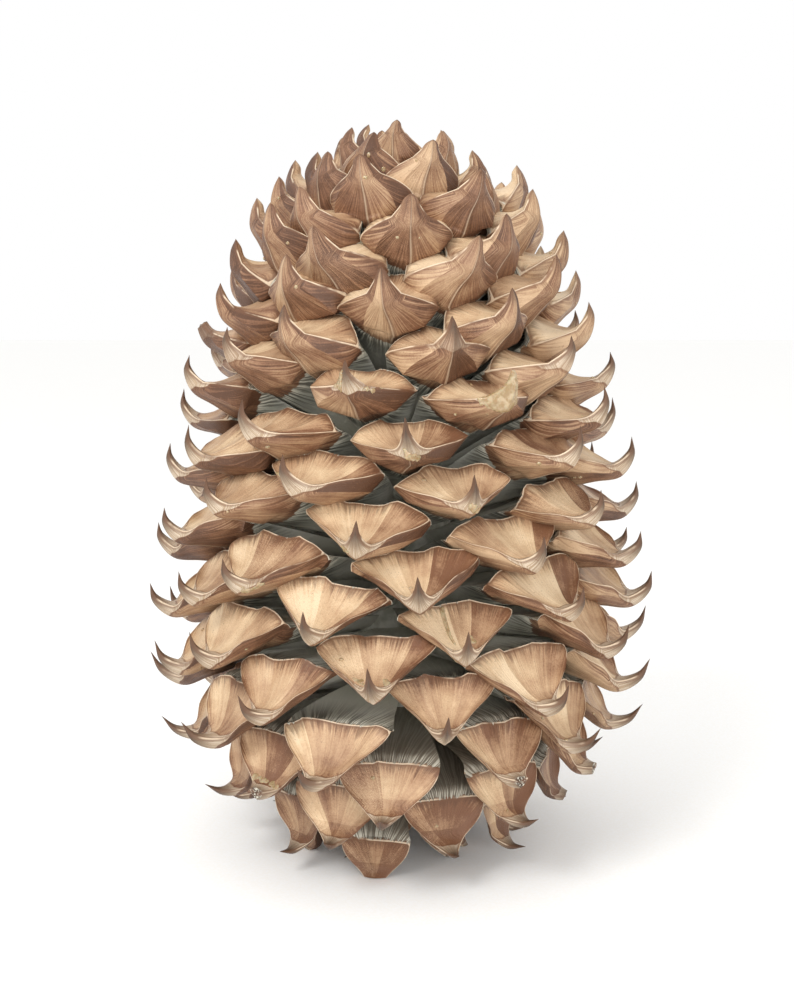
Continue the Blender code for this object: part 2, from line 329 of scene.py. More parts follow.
def through(values, t, corners=()):
    """A smooth curve through one value for each knot, read at t. At a corner it turns sharply."""
    values = np.asarray(values, float)
    step = np.diff(values)
    before = np.concatenate(([step[0]], (step[:-1] + step[1:]) / 2, [step[-1]]))
    after = before.copy()
    for knot in corners:
        before[knot] = step[knot - 1]
        after[knot] = step[knot]
    here = np.clip(np.floor(t).astype(int), 0, len(values) - 2)
    return curve(t - here, values[here], after[here], values[here + 1], before[here + 1])


def ease(value, low, high):
    """0 under low, 1 over high, and smooth between."""
    f = np.clip((value - low) / (high - low), 0.0, 1.0)
    return f * f * (3 - 2 * f)


def within(value, start, full, fade, end):
    """0 outside start and end, 1 from full to fade, and smooth between."""
    return ease(value, start, full) * (1 - ease(value, fade, end))


def by_tier(values, index):
    """The value for this scale between those of the base, the middle and the top."""
    base, middle, top = values
    low = 1 - ease(index, BASE_ENDS, MIDDLE_FROM)
    high = ease(index, MIDDLE_ENDS, TOP_FROM)
    return middle + (base - middle) * low + (top - middle) * high


def column_share(column):
    """How far a column is from the middle of its scale, as a share of the half width."""
    turn = 2 * column / COLUMNS
    return abs(0.5 * math.cos(turn * math.pi) + 0.5 * (1 - 2 * turn))


class Scale:
    """The place, the sizes and the surface of one scale."""

    def __init__(self, index):
        draw = random.Random(SEED + index)
        values = [at_station(index, column) for column in range(1, 11)]
        radius, height, pitch, root = values[:4]
        size = 1.0 + SIZE_JITTER * draw.uniform(-1, 1)
        self.half, self.crest, self.drop, self.belly, self.reach, self.rise = (
            value * size for value in values[4:]
        )
        self.pitch = math.radians(pitch + PITCH_JITTER * draw.uniform(-1, 1))
        self.roll = math.radians(ROLL_JITTER * draw.uniform(-1, 1))
        turn = TURN_JITTER * draw.uniform(-1, 1)
        lift = LIFT_JITTER * draw.uniform(-1, 1)
        sway = SWAY_JITTER * draw.uniform(-1, 1)
        if index in STRAYS:
            turn, lift, sway = STRAYS[index]
        self.sway = sway
        self.angle = math.radians((index - FRONT_SCALE) * DIVERGENCE + turn)
        self.shoulder = np.array((radius, height + lift))
        self.root = np.array((ROOT_DEPTH * axis_radius(root), root))
        self.broken = index in BROKEN
        self.index = index
        if index in STANDING:
            tip = self.place(np.array([TIP_AT[0] * self.reach]), np.zeros(1), np.array([self.rise]))
            self.shoulder[1] -= tip[0, 2] + WEAR

        # What only the finish varies from scale to scale.
        own = random.Random(SEED * 3 + index)
        self.tone = own.random()
        self.lean = own.uniform(-LEAN, LEAN)
        self.breaks = [column_share(own.choice(BREAK_COLUMNS)) for _ in range(2)]
        self.corner = CORNER_LIFT * self.crest * (1 - ease(index, CORNER_FULL_TO, CORNER_NONE_FROM))
        self.bends = (4,) if index > BENDS_FROM else ()
        self.stray = own.uniform(*CORNER_STRAY)
        self.waves = [(own.uniform(*WAVE_RATES), own.uniform(0, 6.3)) for _ in range(WAVE_COUNT)]
        self.folds = [(own.uniform(*at), own.uniform(*height), own.choice((-1, 1))) for at, height in FOLDS]
        self.terrace = own.uniform(*TERRACE)
        self.crest += HIGH_CREST * ease(index, HIGH_CREST_FROM, HIGH_CREST_FULL)
        self.drop *= 1 - LEVEL_KEEL * ease(index, LEVEL_KEEL_FROM, LEVEL_KEEL_FULL)
        self.break_full = BREAK_FULL_LOW + (BREAK_FULL_HIGH - BREAK_FULL_LOW) * ease(
            index, BREAK_LOW_TO, BREAK_HIGH_FROM
        )
        self.taper = by_tier(TIP_TAPER, index)

    def place(self, along, side, up):
        """Points measured from the shoulders, in the cone's frame, in millimetres."""
        side = side + self.sway * np.clip(along / self.reach, 0.0, None) ** 2
        rolled = side * math.cos(self.roll) - up * math.sin(self.roll)
        up = side * math.sin(self.roll) + up * math.cos(self.roll)
        cosine, sine = math.cos(self.pitch), math.sin(self.pitch)
        radius = self.shoulder[0] + along * cosine - up * sine
        height = self.shoulder[1] + along * sine + up * cosine
        turned, straight = math.sin(self.angle), math.cos(self.angle)
        return np.stack((
            AXIS_X + radius * turned + rolled * straight,
            AXIS_Y + rolled * turned - radius * straight,
            height,
        ), axis=-1)

    def knots(self):
        """For each knot from root to tip: half width, then along and up for the sides, belly and crest."""
        h, reach, drop, belly = self.half, self.reach, self.drop, self.belly
        brow, foot, horn, foot_depth, foot_top, horn_depth, horn_top = (
            by_tier(values, self.index) * h
            for values in (BROW_HALF, FOOT_HALF, HORN_HALF, FOOT_DEPTH, FOOT_TOP, HORN_DEPTH, HORN_TOP)
        )
        foot_low_at, horn_at, horn_low_at, tip_at = (
            by_tier(values, self.index) * reach for values in (FOOT_LOW_AT, HORN_AT, HORN_LOW_AT, TIP_AT)
        )
        out = np.array((math.cos(self.pitch), math.sin(self.pitch)))
        over = np.array((-out[1], out[0]))
        away = self.root - self.shoulder
        root = np.array((away @ out, away @ over))
        lean = -root / np.linalg.norm(root)
        square = np.array((-lean[1], lean[0]))
        root_up = root + square * ROOT_UP * h
        root_down = root - square * ROOT_DOWN * h
        foot_low = -drop - foot_depth
        rise = -drop + by_tier(HORN_RISE, self.index) * (self.rise + drop)
        return np.array((
            (ROOT_HALF * h, *root_up, *root_down, *root_up),
            (NECK_HALF * h, -NECK_BACK * h, NECK_UP * h, -NECK_BACK * h, -NECK_BELLY * belly,
             -NECK_BACK * h, NECK_UP * h),
            (h, 0.0, 0.0, -SHOULDER_LOW_BACK * h, -belly, -CREST_BACK * h, self.crest),
            (brow, BROW_AT * reach, -BROW_SIDE_DROP * drop, BROW_AT * reach, BROW_LOW * (foot_low - belly),
             BROW_AT * reach, BROW_TOP * self.crest - (1 - BROW_TOP) * drop),
            (foot, FOOT_AT * reach, -drop, foot_low_at, foot_low,
             (FOOT_AT - FOOT_TOP_BACK) * reach, -drop + foot_top),
            (horn, horn_at, rise, horn_low_at, rise - horn_depth,
             horn_at - HORN_TOP_BACK * reach, rise + horn_top),
            (horn, tip_at, self.rise, tip_at, self.rise, tip_at, self.rise),
        )).T

    def fold_height(self, fan):
        """How far the face's folds lift it, at each angle round the claw's foot."""
        lift = np.zeros_like(fan)
        for centre, size, way in self.folds:
            turn = (fan - centre) * way
            slow = np.clip(1 + turn / FOLD_SLOW, 0.0, None)
            steep = np.clip(1 - turn / FOLD_STEEP, 0.0, None)
            lift += size * np.where(turn < 0, slow, steep)
        return lift

    def surface(self, t, c):
        """The scale's own coordinates at ring t and column c, with what its finish needs to know."""
        rows = self.knots()
        knot = np.where(t > 4.0, 4.0 + SNAPPED_AT * np.clip(t - 4.0, 0.0, 1.0), t) if self.broken else t
        half, side_u, side_w = (through(row, knot, corners=self.bends) for row in rows[:3])
        low_u, low_w = (through(row, knot) for row in rows[3:5])
        high_u, high_w = (through(row, knot, corners=(2,)) for row in rows[5:7])
        upper = c <= 0.5
        turn = np.where(upper, c, c - 0.5) * 2
        across = 0.5 * -np.cos(turn * math.pi) + 0.5 * (2 * turn - 1)
        across = np.where(upper, across, -across)
        share = np.abs(across)
        side_break = np.where(across < 0, self.breaks[0], self.breaks[1])
        inner = 1 - (1 - self.break_full) * share / side_break
        outer = self.break_full * (1 - share) / (1 - side_break)
        keel = 1 - share ** through(KEEL, t)
        facets = within(t, *FACETS_IN)
        keel += (np.where(share < side_break, inner, outer) - keel) * facets
        keel += RIDGE / self.belly * np.clip(1 - share / RIDGE_WIDTH, 0.0, None)
        full = np.where(upper, 1 - share ** through(ROOF, t), keel)

        # The claw tapers to its tip round its own middle line.
        end = np.clip(t - 5.0, 0.0, 1.0)
        taper = 1 - end**self.taper
        half = half * np.where(t > 5.0, 1 - end if self.broken else taper, 1.0)
        along = side_u + (np.where(upper, high_u, low_u) - side_u) * full
        up = side_w + (np.where(upper, high_w, low_w) - side_w) * full
        face = within(t, *FACE_IN)
        lean = self.lean * self.half * within(t, *LEAN_IN)
        side = half * across + lean * (1 - share**2)

        # The folds fan out from the claw's foot. The face is dished on either side of its ridge.
        foot = FOOT_AT * self.reach
        fan = np.arctan2(side, foot - along + FAN_BEYOND * self.half)
        spoke = np.hypot(side, foot - along)
        spread = face * np.clip(spoke / FOLD_FULL_AT, 0.0, FOLD_MOST)
        crestline = sum(np.sin(k * across + phase) for k, phase in self.waves) * CREST_WAVE
        above = self.fold_height(fan) * spread * ease(share, 1.0, FOLD_TO) + crestline * face * full
        above -= DISH * np.sin(math.pi * share) * within(t, *DISH_IN)
        below = -FOLD_UNDER * self.fold_height(-fan) * face * ease(share, 1.0, FOLD_UNDER_TO)
        up = up + np.where(upper, above, below) + (self.stray + self.corner) * share**3 * face

        # A snapped claw ends in a rough stump instead of a point.
        if self.broken:
            middle_u, middle_w = (low_u + high_u) / 2, (low_w + high_w) / 2
            grit = sum(size * np.sin(c * rate + self.tone * shift) for rate, shift, size in GRIT)
            bare = end > 0
            along = np.where(bare, middle_u + (1 - end) * (along - middle_u + grit * end), along)
            up = np.where(bare, middle_w + (1 - end) * (up - middle_w), up)

        crest_u = -CREST_BACK * self.half * full
        above_tan = along - crest_u + TAN_CREST
        below_tan = along + self.half * (TAN_BACK + TAN_RIDGE * (1 - share**2))
        tan = np.where(upper, above_tan, below_tan)
        edge = np.where(upper, np.abs(along - crest_u), NO_EDGE)
        edge = np.minimum(EDGE_SIDE * half * (1 - share), edge)
        on_claw = ease(t, *ON_CLAW)
        shield = 1 - ease(self.index, BASE_ENDS, MIDDLE_FROM)
        plate = t - PLATE_FROM - PLATE_SHIELD * shield
        plate += (PLATE_SIDES - PLATE_SHIELD_SIDES * shield) * ease(share, *PLATE_SIDE_IN)
        facts = {
            "tan_mm": tan,
            "edge_mm": edge,
            "brink_mm": np.minimum(edge, np.where(upper, NO_EDGE, np.abs(tan))),
            "fan": fan + (0.5 * across - fan) * on_claw,
            "spoke_mm": spoke,
            "upper": np.where(upper, 1.0, -1.0) * np.sin(turn * math.pi),
            "across": across,
            "middle": share,
            "claw": ease(t, *CLAW_DARKENS) * (STUMP_DARK if self.broken else 1.0),
            "snapped": ease(t, *STUMP_FROM) if self.broken else np.zeros_like(t),
            "tone": np.full_like(along, self.tone),
            "past_left": np.where(upper, fan - self.folds[0][0], across + self.breaks[0]),
            "past_right": np.where(upper, fan - self.folds[1][0], across - self.breaks[1]),
            "past_terrace": np.where(upper, along / self.reach - self.terrace, -1.0),
            "plate": plate,
            "blunt": np.full_like(along, ease(self.index, MIDDLE_ENDS, TOP_FROM)),
            "shield": np.full_like(along, shield),
            CREASE: self.creases(t, across, upper),
        }
        return along, side, up, facts

    def creases(self, t, across, upper):
        """The number of the crisp line that each point is on, or 0: the ridge, the breaks and the crest."""
        number = np.zeros_like(t)
        lines = (0.0, -self.breaks[0], self.breaks[1])
        for i, line in enumerate(lines):
            on_line = ~upper & (np.abs(across - line) < ON_LINE)
            number[on_line & (t > CRISP_IN[0]) & (t < CRISP_IN[1])] = i + 1
        number[upper & (np.abs(t - 2.0) < ON_LINE)] = len(lines) + 1
        return number

    def points(self, t, c):
        """Points of the skin at ring t and column c."""
        along, side, up, facts = self.surface(t, c)
        return self.place(along, side, up), facts


def as_mesh(shape, name):
    """The finished shape as a mesh."""
    mesh = bpy.data.meshes.new(name)
    shape.to_mesh(mesh)
    shape.free()
    return mesh


def in_scene(name, data):
    """A new object of the scene that holds a mesh, a light or a camera."""
    thing = bpy.data.objects.new(name, data)
    bpy.context.scene.collection.objects.link(thing)
    return thing


def ring_places():
    """The knot coordinate of each ring, closer together where the scale turns."""
    places = [0.0]
    for start, end, steps in RING_STEPS:
        places.extend(start + (end - start) * (i + 1) / steps for i in range(steps))
    return places


def scale_grid():
    """A flat grid with one row of vertices for each ring and one more column than the scale has, to be
    rolled round so that its first and last columns meet."""
    rings = ring_places()
    shape = bmesh.new()
    bmesh.ops.create_grid(shape, x_segments=len(rings) - 1, y_segments=COLUMNS, size=1.0)
    mesh = as_mesh(shape, "scale_grid")
    flat = np.empty(len(mesh.vertices) * 3)
    mesh.vertices.foreach_get("co", flat)
    flat = flat.reshape(-1, 3)
    row = np.rint((flat[:, 0] + 1) / 2 * (len(rings) - 1)).astype(int)
    c = (flat[:, 1] + 1) / 2
    return mesh, np.array(rings)[row], c


def sharpen_creases(mesh):
    """Marks each edge that runs along a crease as sharp."""
    crease = np.empty(len(mesh.vertices))
    mesh.attributes[CREASE].data.foreach_get("value", crease)
    ends = np.empty(len(mesh.edges) * 2, dtype=np.int32)
    mesh.edges.foreach_get("vertices", ends)
    first, second = crease[ends[0::2]], crease[ends[1::2]]
    sharp = np.empty(len(mesh.edges), dtype=bool)
    mesh.edges.foreach_get("use_edge_sharp", sharp)
    sharp |= (first == second) & (first > 0)
    mesh.edges.foreach_set("use_edge_sharp", sharp)


def tier_object(name, first, last):
    """The scales from first up to last as one mesh, each a grid rolled round and moved into its place."""
    grid, t, c = scale_grid()
    shape = bmesh.new()
    for _ in range(first, last):
        shape.from_mesh(grid)
    mesh = as_mesh(shape, name)
    bpy.data.meshes.remove(grid)
    spots, facts = [], {}
    for index in range(first, last):
        own_spots, own_facts = Scale(index).points(t, c)
        spots.append(own_spots)
        for key, values in own_facts.items():
            facts.setdefault(key, []).append(values)
    mesh.vertices.foreach_set("co", (np.concatenate(spots) * MM).ravel())
    facts = {key: np.concatenate(values) for key, values in facts.items()}
    for key in (*SKIN_MARKS, CREASE):
        mesh.attributes.new(key, "FLOAT", "POINT").data.foreach_set("value", facts[key])
    grain = np.stack([facts[key] for key in ("fan", "spoke_mm", "tone")], axis=-1)
    mesh.attributes.new("grain", "FLOAT_VECTOR", "POINT").data.foreach_set("vector", grain.ravel())
    shape = bmesh.new()
    shape.from_mesh(mesh)
    bmesh.ops.remove_doubles(shape, verts=shape.verts, dist=MERGE * MM)
    # The claws that the cone stands on are worn flat.
    bmesh.ops.bisect_plane(
        shape,
        geom=[*shape.verts, *shape.edges, *shape.faces],
        plane_co=(0.0, 0.0, 0.0),
        plane_no=(0.0, 0.0, 1.0),
        clear_inner=True,
    )
    bmesh.ops.holes_fill(shape, edges=[edge for edge in shape.edges if edge.is_boundary], sides=0)
    bmesh.ops.recalc_face_normals(shape, faces=shape.faces)
    shape.to_mesh(mesh)
    shape.free()
    mesh.shade_smooth()
    mesh.set_sharp_from_angle(angle=math.radians(SHARP))
    sharpen_creases(mesh)
    return in_scene(name, mesh)


def dressed(piece, material):
    """Gives a piece its material and its body, and lets it stand for the plain cone."""
    piece.data.materials.clear()
    piece.data.materials.append(material)
    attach(piece, BODY)
    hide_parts(NODE)
    return piece


def add_node(tree, kind, inputs=None, output=None, **settings):
    """Adds one node and gives back its output. inputs holds a value, or another node's output, for each
    numbered or named input that isn't left as it is."""
    node = tree.nodes.new(kind)
    for key, value in settings.items():
        setattr(node, key, value)
    open_inputs = [socket for socket in node.inputs if socket.enabled]
    for key, value in (inputs or {}).items():
        socket = open_inputs[key] if isinstance(key, int) else node.inputs[key]
        if isinstance(value, bpy.types.NodeSocket):
            tree.links.new(value, socket)
        else:
            socket.default_value = value
    if output:
        return node.outputs[output]
    return next((socket for socket in node.outputs if socket.enabled), None)


def new_material(name):
    """A material with its shader, and the tree that holds it."""
    material = bpy.data.materials.new(name)
    material.use_nodes = True
    return material, material.node_tree, material.node_tree.nodes["Principled BSDF"]


# How deep the wood's fibres and pits are, in metres.
WOOD_RELIEF = 0.0004


def weathered_scale_wood(colours):
    """Woody scales: dry tan faces drawn with fine fibres that run to the claw, over grey-green shanks. The
    fibres give each face its silky streaks, the folds break it into lighter and darker fields, partly as
    painted light and shade, and every edge has a cream painted highlight. The shanks near the axis are
    painted pale, as light in the hollows."""
    material, tree, shader = new_material("weathered_scale_wood")
    marks = {}
    for name in SKIN_MARKS:
        marks[name] = add_node(tree, "ShaderNodeAttribute", output="Fac", attribute_name=name)
    grain = add_node(tree, "ShaderNodeAttribute", output="Vector", attribute_name="grain")
    place = add_node(tree, "ShaderNodeTexCoord", output="Object")

    # The grain is the angle round the claw's foot and the millimetres from it. Half way along the face, fine
    # fibres lie about 0.4 mm apart, in bundles about 2 mm wide. They end in tufts about 1 mm apart where the
    # tan wood gives way to the shank.
    textures = {}
    for name, stretch, detail in (
        ("fibre", (48.0, 0.05, 57.0), 2.0),
        ("bundle", (8.0, 0.04, 57.0), 2.0),
        ("stroke", (21.0, 0.05, 57.0), 1.0),
    ):
        at = add_node(tree, "ShaderNodeMapping", {"Vector": grain, "Scale": stretch})
        inputs = {"Vector": at, "Scale": 1.0, "Detail": detail}
        textures[name] = add_node(tree, "ShaderNodeTexNoise", inputs)
    # Clouds about 12 mm across mottle the wood, partly as weather and, in the face's tone, as soft painted
    # highlights. Dust and pits speck it at about 0.7 mm.
    for name, scale, detail in (("cloud", 85.0, 3.0), ("speck", 1400.0, 2.0)):
        inputs = {"Vector": place, "Scale": scale, "Detail": detail}
        textures[name] = add_node(tree, "ShaderNodeTexNoise", inputs)

    # The folds part the face into fields, and the ridge parts the underside. Each field has its own tone.
    # The shares only keep the fields' seeds apart.
    under = add_node(tree, "ShaderNodeMath", {0: marks["upper"], 1: 0.0}, operation="LESS_THAN")
    field = add_node(tree, "ShaderNodeMath", {0: under, 1: 0.41, 2: marks["tone"]}, operation="MULTIPLY_ADD")
    past = {}
    for name, mark in (
        ("left", "past_left"),
        ("right", "past_right"),
        ("middle", "across"),
        ("terrace", "past_terrace"),
    ):
        past[name] = add_node(tree, "ShaderNodeMath", {0: marks[mark], 1: 0.0}, operation="GREATER_THAN")
    past["ridge"] = add_node(tree, "ShaderNodeMath", {0: past["middle"], 1: under}, operation="MULTIPLY")
    inputs = {0: past["terrace"], 1: marks["shield"]}
    past["step"] = add_node(tree, "ShaderNodeMath", inputs, operation="MULTIPLY")
    for name, share in (("left", 0.31), ("right", 0.27), ("ridge", 0.17)):
        inputs = {0: past[name], 1: share, 2: field}
        field = add_node(tree, "ShaderNodeMath", inputs, operation="MULTIPLY_ADD")
    field = add_node(tree, "ShaderNodeTexWhiteNoise", {"W": field}, "Value", noise_dimensions="1D")

    # The fibres show most near the edges of each face, which are also its darkest parts: painted shade at
    # the edges, and a painted highlight in the middle of the face.
    inputs = {0: marks["brink_mm"], 1: 6.0, 2: 0.3}
    brink = add_node(tree, "ShaderNodeMapRange", inputs, interpolation_type="SMOOTHSTEP")
    centred = add_node(tree, "ShaderNodeMath", {0: textures["fibre"], 1: 0.5}, operation="SUBTRACT")
    hatching = add_node(tree, "ShaderNodeMath", {0: centred, 1: brink}, operation="MULTIPLY")
    under_hatching = add_node(tree, "ShaderNodeMath", {0: centred, 1: under}, operation="MULTIPLY")

    # The faces of the upper scales are lighter than what hangs under their keels: painted light on the faces
    # that turn up.
    painted_lit_crown = add_node(tree, "ShaderNodeMath", {0: 1.0, 1: under}, operation="SUBTRACT")
    painted_lit_crown = add_node(tree, "ShaderNodeMath", {0: painted_lit_crown, 1: marks["blunt"]}, operation="MULTIPLY")

    # One value gathers fields, bundles, fibres and clouds, and picks the wood's brown. Each source counts by
    # how far it is from its centre, and the value starts a little under the middle brown. Several sources
    # paint
    # light and shade into it: the sides of the folds and the ridge, the brinks, the clouds and the crown.
    value = 0.48
    for source, centre, weight in (
        (field, 0.5, 0.52),
        # Painted light and shade: lighter left of the first fold, darker past the second fold and past the
        # underside's ridge.
        (past["left"], 0.7, -0.12),
        (past["right"], 0.3, -0.14),
        (past["ridge"], 0.0, -0.16),
        (past["step"], 0.0, -0.14),
        (textures["bundle"], 0.5, 0.34),
        (textures["fibre"], 0.5, 0.26),
        (hatching, 0.0, 0.75),
        (under_hatching, 0.0, 0.65),
        # Painted shade at the brink of each face, and a painted highlight in its middle.
        (brink, 0.35, -0.14),
        # Clouds: partly weather, partly soft painted highlights.
        (textures["cloud"], 0.5, 0.85),
        (textures["speck"], 0.5, 0.30),
        (marks["tone"], 0.5, 0.16),
        (marks["shield"], 0.0, -0.20),
        # Painted light on the upturned faces of the upper scales.
        (painted_lit_crown, 0.0, 0.20),
    ):
        centred = add_node(tree, "ShaderNodeMath", {0: source, 1: centre}, operation="SUBTRACT")
        inputs = {0: centred, 1: weight, 2: value}
        value = add_node(tree, "ShaderNodeMath", inputs, operation="MULTIPLY_ADD")
    tints = {name: linear(getattr(colours, name)) for name in colours.__annotations__}
    browns = {}
    # The underside's browns are redder than the face's, and darker as painted shade under the keel.
    for name, steps in (
        ("face", ("face_deep", "face_dark", "face_mid", "face_light", "face_pale")),
        ("under", ("under_deep", "under_dark", "under_mid", "under_light")),
    ):
        browns[name] = add_node(tree, "ShaderNodeValToRGB", {"Fac": value}, "Color")
        ramp = browns[name].node.color_ramp
        for _ in steps[2:]:
            ramp.elements.new(0.5)
        for i, (element, tint) in enumerate(zip(ramp.elements, steps)):
            element.position = 0.10 + 0.80 * i / (len(steps) - 1)
            element.color = tints[tint]

    # Boundaries that the grain and the weather roughen.
    rough = {}
    for name, mark, texture, weight in (
        ("tan", "tan_mm", "stroke", 3.6),
        ("far_tan", "tan_mm", "stroke", 8.0),
        ("claw", "claw", "bundle", 0.30),
        ("plate", "plate", "cloud", 0.25),
        ("edge", "edge_mm", "cloud", 0.6),
    ):
        centred = add_node(tree, "ShaderNodeMath", {0: textures[texture], 1: 0.5}, operation="SUBTRACT")
        inputs = {0: centred, 1: weight, 2: marks[mark]}
        rough[name] = add_node(tree, "ShaderNodeMath", inputs, operation="MULTIPLY_ADD")

    # Masks, each from where it starts to where it is full, with its strength there.
    masks = {}
    for name, source, start, full, strength in (
        ("under", marks["upper"], 0.03, -0.06, 1.0),
        ("wood", rough["tan"], -0.35, 0.25, 1.0),
        ("plate", rough["plate"], 0.00, 0.05, 0.85),
        ("around", rough["plate"], -0.10, -0.05, 0.65),
        ("grey", rough["claw"], 0.12, 0.46, 0.75),
        ("horn", rough["claw"], 0.36, 0.80, 0.92),
        ("slender", marks["blunt"], 0.7, 0.0, 1.0),
        ("plated", marks["blunt"], 0.30, 0.05, 1.0),
        ("snapped", marks["snapped"], 0.2, 0.8, 0.95),
        ("fleck", textures["speck"], 0.50, 0.58, 0.85),
        ("broad", marks["claw"], 0.62, 0.40, 1.0),
        ("pit", textures["speck"], 0.62, 0.72, 0.45),
        ("hatch", rough["far_tan"], 3.4, 1.0, 0.50),
        ("fringe", rough["far_tan"], -5.0, -1.0, 0.72),
        # Painted light: the shanks grow pale towards the axis, in the hollows between the scales.
        ("hollow", marks["tan_mm"], -3.0, -22.0, 1.0),
        ("above", marks["shield"], 0.9, 0.2, 1.0),
        ("low", marks["shield"], 0.2, 0.8, 0.75),
        # Painted highlight along the crest and the keel, shown in patches.
        ("rim", rough["edge"], 0.46, 0.16, 0.74),
        # Painted shade: a dark line just inside the edge highlight.
        ("line", rough["edge"], 1.4, 0.6, 0.55),
        ("highlight_patches", textures["cloud"], 0.36, 0.52, 1.0),
        # Painted highlight on the underside's ridge, with painted shade beside it.
        ("ridge", marks["middle"], 0.030, 0.012, 0.30),
        ("ridge_side", marks["middle"], 0.085, 0.045, 0.45),
        ("streak", textures["fibre"], 0.40, 0.62, 1.0),
    ):
        inputs = {0: source, 1: start, 2: full, 4: strength}
        masks[name] = add_node(tree, "ShaderNodeMapRange", inputs, interpolation_type="SMOOTHSTEP")
    for name, first, second in (
        ("dark_horn", "horn", "slender"),
        ("claw_plate", "plate", "plated"),
        ("plate_line", "around", "plated"),
        ("painted_light_in_hollow", "hollow", "above"),
        ("pale_fringe", "fringe", "streak"),
        ("broad_rim", "rim", "broad"),
        ("worn_rim", "broad_rim", "highlight_patches"),
        ("edge_shade_line", "line", "wood"),
        ("ridge_highlight", "ridge", "under"),
        ("ridge_shade", "ridge_side", "under"),
    ):
        inputs = {0: masks[first], 1: masks[second]}
        masks[name] = add_node(tree, "ShaderNodeMath", inputs, operation="MULTIPLY")

    # The coats, each laid over the ones before it.
    coats = {}
    for name, base, layers in (
        ("plate", tints["claw_shade"], (("streak", "claw_pale"), ("grey", "claw_grey"))),
        ("stump", tints["claw_tip"], (("fleck", "fringe"),)),
        ("shank", tints["shank_dark"], (
            ("streak", "shank_light"),
            ("low", "shank_brown"),
            # Painted light: the shanks pale towards the axis.
            ("painted_light_in_hollow", "painted_hollow_light"),
            ("pale_fringe", "fringe"),
        )),
    ):
        for mask, tint in layers:
            inputs = {0: masks[mask], 1: base, 2: tints[tint]}
            base = add_node(tree, "ShaderNodeMix", inputs, data_type="RGBA")
        coats[name] = base
    coat = browns["face"]
    for mask, tint in (
        # The underside: its own redder brown, darker as painted shade.
        ("under", browns["under"]),
        # Painted shade beside the underside's ridge, and a painted highlight on it.
        ("ridge_shade", tints["under_deep"]),
        ("ridge_highlight", tints["rim"]),
        ("plate_line", tints["line"]),
        ("claw_plate", coats["plate"]),
        ("dark_horn", tints["claw_tip"]),
        ("pit", tints["face_deep"]),
        ("snapped", coats["stump"]),
        ("hatch", tints["under_deep"]),
        # Painted shade just inside the edges, and a painted highlight along them.
        ("edge_shade_line", tints["line"]),
        # Painted highlight along the crest and the keel.
        ("worn_rim", tints["rim"]),
    ):
        coat = add_node(tree, "ShaderNodeMix", {0: masks[mask], 1: coat, 2: tint}, data_type="RGBA")
    inputs = {0: masks["wood"], 1: coats["shank"], 2: coat}
    coat = add_node(tree, "ShaderNodeMix", inputs, data_type="RGBA")
    tree.links.new(coat, shader.inputs["Base Color"])

    # Dry wood is matt. The faces, which resin has waxed, have a soft gleam.
    inputs = {0: masks["wood"], 1: 0.0, 2: 1.0, 3: 0.80, 4: 0.50}
    tree.links.new(add_node(tree, "ShaderNodeMapRange", inputs), shader.inputs["Roughness"])
    shader.inputs["Specular IOR Level"].default_value = 0.40
    relief = 0.0
    for name, weight in (("fibre", 0.5), ("bundle", 0.9), ("cloud", 0.8), ("speck", 0.35)):
        inputs = {0: textures[name], 1: weight, 2: relief}
        relief = add_node(tree, "ShaderNodeMath", inputs, operation="MULTIPLY_ADD")
    bump = add_node(tree, "ShaderNodeBump", {"Height": relief, "Distance": WOOD_RELIEF, "Strength": 1.0})
    tree.links.new(bump, shader.inputs["Normal"])
    return material


def patched_material(name, scale, light, dark, roughness, relief):
    """A material whose colour and relief follow one clouded pattern. scale is the pattern's, and relief is
    in metres."""
    material, tree, shader = new_material(name)
    place = add_node(tree, "ShaderNodeTexCoord", output="Object")
    cloud = add_node(tree, "ShaderNodeTexNoise", {"Vector": place, "Scale": scale, "Detail": 4.0})
    inputs = {0: cloud, 1: 0.35, 2: 0.65}
    share = add_node(tree, "ShaderNodeMapRange", inputs, interpolation_type="SMOOTHSTEP")
    inputs = {0: share, 1: linear(dark), 2: linear(light)}
    colour = add_node(tree, "ShaderNodeMix", inputs, data_type="RGBA")
    tree.links.new(colour, shader.inputs["Base Color"])
    shader.inputs["Roughness"].default_value = roughness
    bump = add_node(tree, "ShaderNodeBump", {"Height": cloud, "Distance": relief, "Strength": 1.0})
    tree.links.new(bump, shader.inputs["Normal"])
    return material, shader


def axis_wood(colours):
    """The cone's axis: hard, dark, weathered wood, scarred in patches of 6 mm where the scales leave it. Its
    colours are painted pale, as light in the hollow of the cone.
    """
    material, _ = patched_material("cone_axis_wood", 160.0, colours.painted_hollow_light, colours.shank_light, 0.85, 0.0005)
    return material


def dried_resin(colours):
    """Pine resin, dried to milky beads and crusts: glossy, half see-through, clouded at about 2 mm."""
    material, shader = patched_material(
        "dried_pine_resin", 500.0, colours.resin_light, colours.resin_dark, 0.08, 0.00005
    )
    shader.inputs["Transmission Weight"].default_value = 0.45
    shader.inputs["Subsurface Weight"].default_value = 0.10
    shader.inputs["Subsurface Scale"].default_value = 0.001
    shader.inputs["IOR"].default_value = 1.53
    return material


def paper(colours):
    """The stage: smooth, pale, matt paper with a tooth of about 1 mm."""
    material, _ = patched_material("pale_paper", 900.0, colours.paper, colours.paper_warm, 0.95, 0.00002)
    return material


def colour_property(name, description, default):
    """A colour that the panel shows as its hex value."""
    return bpy.props.StringProperty(name=name, description=description, default=default)


